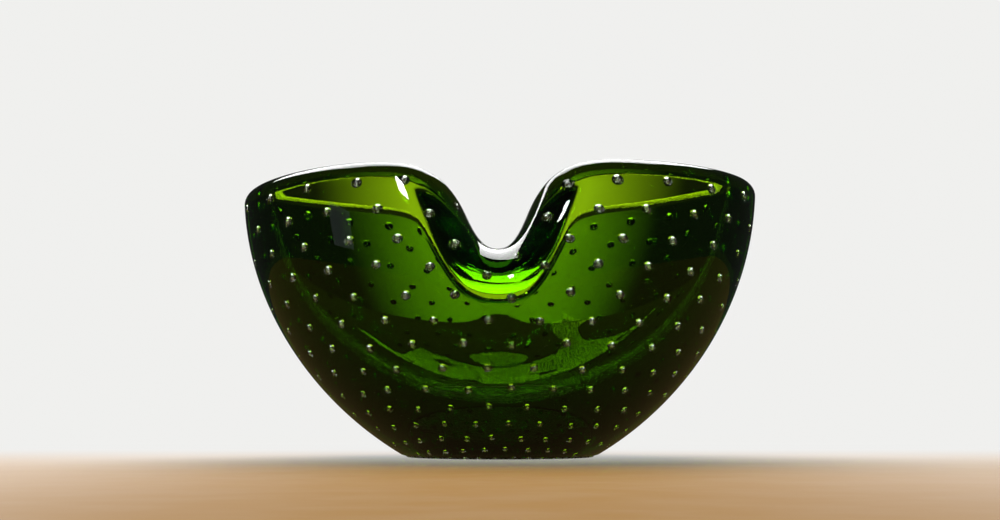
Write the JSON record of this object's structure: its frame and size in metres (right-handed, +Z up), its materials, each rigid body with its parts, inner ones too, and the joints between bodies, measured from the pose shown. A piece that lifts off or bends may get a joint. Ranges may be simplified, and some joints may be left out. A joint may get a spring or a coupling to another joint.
{
  "type": "cased bubble glass bowl",
  "caption": "Heavy green glass bowl cased in clear glass with rings of trapped air bubbles; front and back of the rim folded in and down to leave a lobe at each end.",
  "frame": {"origin": "middle of the flat ground foot, on the table", "axes": "+Z up; the two lobes lie along X, the two folds of the rim along Y"},
  "size_m": [0.1504, 0.1172, 0.0802],
  "materials": {
    "clear_glass": "polished clear glass",
    "green_glass": "polished deep green glass"
  },
  "bodies": {
    "root": {"clear_casing": "clear_glass", "green_cup": "green_glass"}
  },
  "joints": []
}
